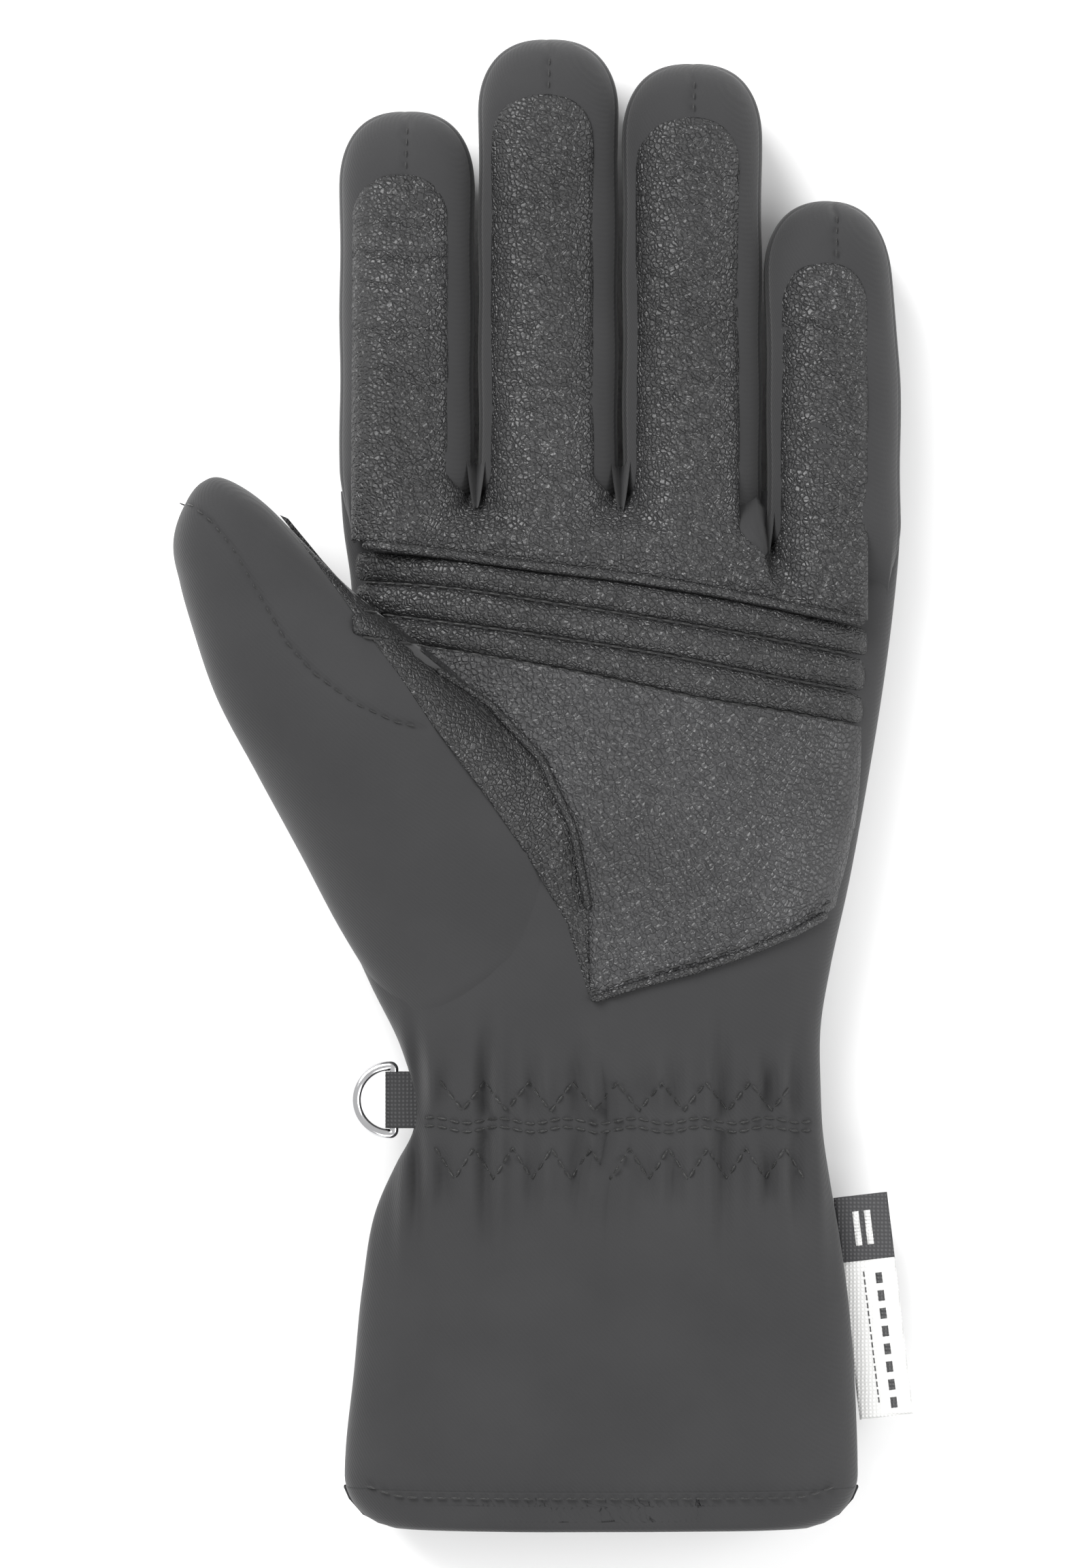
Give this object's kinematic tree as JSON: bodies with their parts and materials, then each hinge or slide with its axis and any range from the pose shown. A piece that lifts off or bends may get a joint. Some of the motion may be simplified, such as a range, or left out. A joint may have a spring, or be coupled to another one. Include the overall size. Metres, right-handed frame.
{
  "type": "ski glove",
  "caption": "Black insulated ski glove for the left hand, leather palm with quilted knuckle rolls, softshell fingers, elastic wrist, gauntlet cuff with a D-ring",
  "frame": {"origin": "centre of the flat face of the back of the hand, which the glove rests on palm up", "axes": "+X towards the little finger, +Y towards the fingertips, +Z out of the palm"},
  "size_m": [0.1402, 0.2807, 0.04],
  "materials": {
    "softshell_black": "matte",
    "leather_black": "satin",
    "insulation_white": "matte",
    "membrane_clear": "satin",
    "fleece_grey": "matte",
    "foam_grey": "matte",
    "elastic_black": "matte",
    "webbing_black": "matte",
    "ring_chrome": "polished",
    "label_dark": "satin",
    "label_light": "satin"
  },
  "bodies": {
    "hand": {"thumb_gusset_leather": "leather_black", "palm_leather_upper": "leather_black", "palm_leather_lower": "leather_black", "palm_roll_leather": "leather_black", "palm_foam_rolls": "foam_grey", "wrist_front_shell": "softshell_black", "hand_back_shell": "softshell_black", "knuckle_piping": "leather_black", "heel_piping": "leather_black", "gusset_piping": "leather_black", "wrist_elastic": "elastic_black", "hand_insulation": "insulation_white", "hand_membrane": "membrane_clear", "hand_lining": "fleece_grey"},
    "cuff": {"cuff_front": "softshell_black", "cuff_back": "softshell_black", "cuff_elastic": "elastic_black", "cuff_insulation": "insulation_white", "cuff_lining": "fleece_grey", "hem_binding": "softshell_black", "care_label": "label_light"},
    "thumb": {"thumb_leather": "leather_black", "thumb_shell": "softshell_black", "thumb_insulation": "insulation_white", "thumb_membrane": "membrane_clear", "thumb_lining": "fleece_grey"},
    "side_label": {"side_label_dark": "label_dark", "side_label_light": "label_light"},
    "tab": {"webbing_loop": "webbing_black"},
    "ring_link": {"d_ring": "ring_chrome"},
    "index": {"index_leather": "leather_black", "index_back_shell": "softshell_black", "index_fourchettes": "softshell_black", "index_insulation": "insulation_white", "index_membrane": "membrane_clear", "index_lining": "fleece_grey"},
    "middle": {"middle_leather": "leather_black", "middle_back_shell": "softshell_black", "middle_fourchettes": "softshell_black", "middle_insulation": "insulation_white", "middle_membrane": "membrane_clear", "middle_lining": "fleece_grey"},
    "ring": {"ring_leather": "leather_black", "ring_back_shell": "softshell_black", "ring_fourchettes": "softshell_black", "ring_insulation": "insulation_white", "ring_membrane": "membrane_clear", "ring_lining": "fleece_grey"},
    "little": {"little_leather": "leather_black", "little_back_shell": "softshell_black", "little_fourchettes": "softshell_black", "little_insulation": "insulation_white", "little_membrane": "membrane_clear", "little_lining": "fleece_grey"}
  },
  "joints": [
    {"name": "index_bend", "type": "hinge", "parent": "hand", "child": "index", "pos_m": [-0.0394, 0.05415, 0.0275], "axis": [1, 0, 0], "range_deg": [0, 80], "stiffness_Nm_per_rad": 0.06},
    {"name": "middle_bend", "type": "hinge", "parent": "hand", "child": "middle", "pos_m": [-0.0127, 0.05415, 0.0275], "axis": [1, 0, 0], "range_deg": [0, 80], "stiffness_Nm_per_rad": 0.06},
    {"name": "ring_bend", "type": "hinge", "parent": "hand", "child": "ring", "pos_m": [0.0144, 0.05415, 0.0275], "axis": [1, 0, 0], "range_deg": [0, 80], "stiffness_Nm_per_rad": 0.06},
    {"name": "little_bend", "type": "hinge", "parent": "hand", "child": "little", "pos_m": [0.0411, 0.04415, 0.0275], "axis": [1, 0, 0], "range_deg": [0, 80], "stiffness_Nm_per_rad": 0.06},
    {"name": "thumb_bend", "type": "hinge", "parent": "hand", "child": "thumb", "pos_m": [-0.06191, 0.01955, 0.0405], "axis": [0.8572, 0.515, 0], "range_deg": [0, 45], "stiffness_Nm_per_rad": 0.06},
    {"name": "wrist_bend", "type": "hinge", "parent": "hand", "child": "cuff", "pos_m": [0.0003, -0.0665, 0.014], "axis": [1, 0, 0], "range_deg": [-25, 25], "stiffness_Nm_per_rad": 0.3},
    {"name": "tab_bend", "type": "hinge", "parent": "hand", "child": "tab", "pos_m": [-0.0389, -0.06, 0.014], "axis": [0, 1, 0], "range_deg": [-20, 20], "stiffness_Nm_per_rad": 0.002},
    {"name": "ring_swing", "type": "hinge", "parent": "tab", "child": "ring_link", "pos_m": [-0.0419, -0.06, 0.014], "axis": [0, 1, 0], "range_deg": [-75, 75]},
    {"name": "label_bend", "type": "hinge", "parent": "cuff", "child": "side_label", "pos_m": [0.0423, -0.0786, 0.011], "axis": [0.1184, -0.993, 0], "range_deg": [-45, 45], "stiffness_Nm_per_rad": 0.0015}
  ]
}
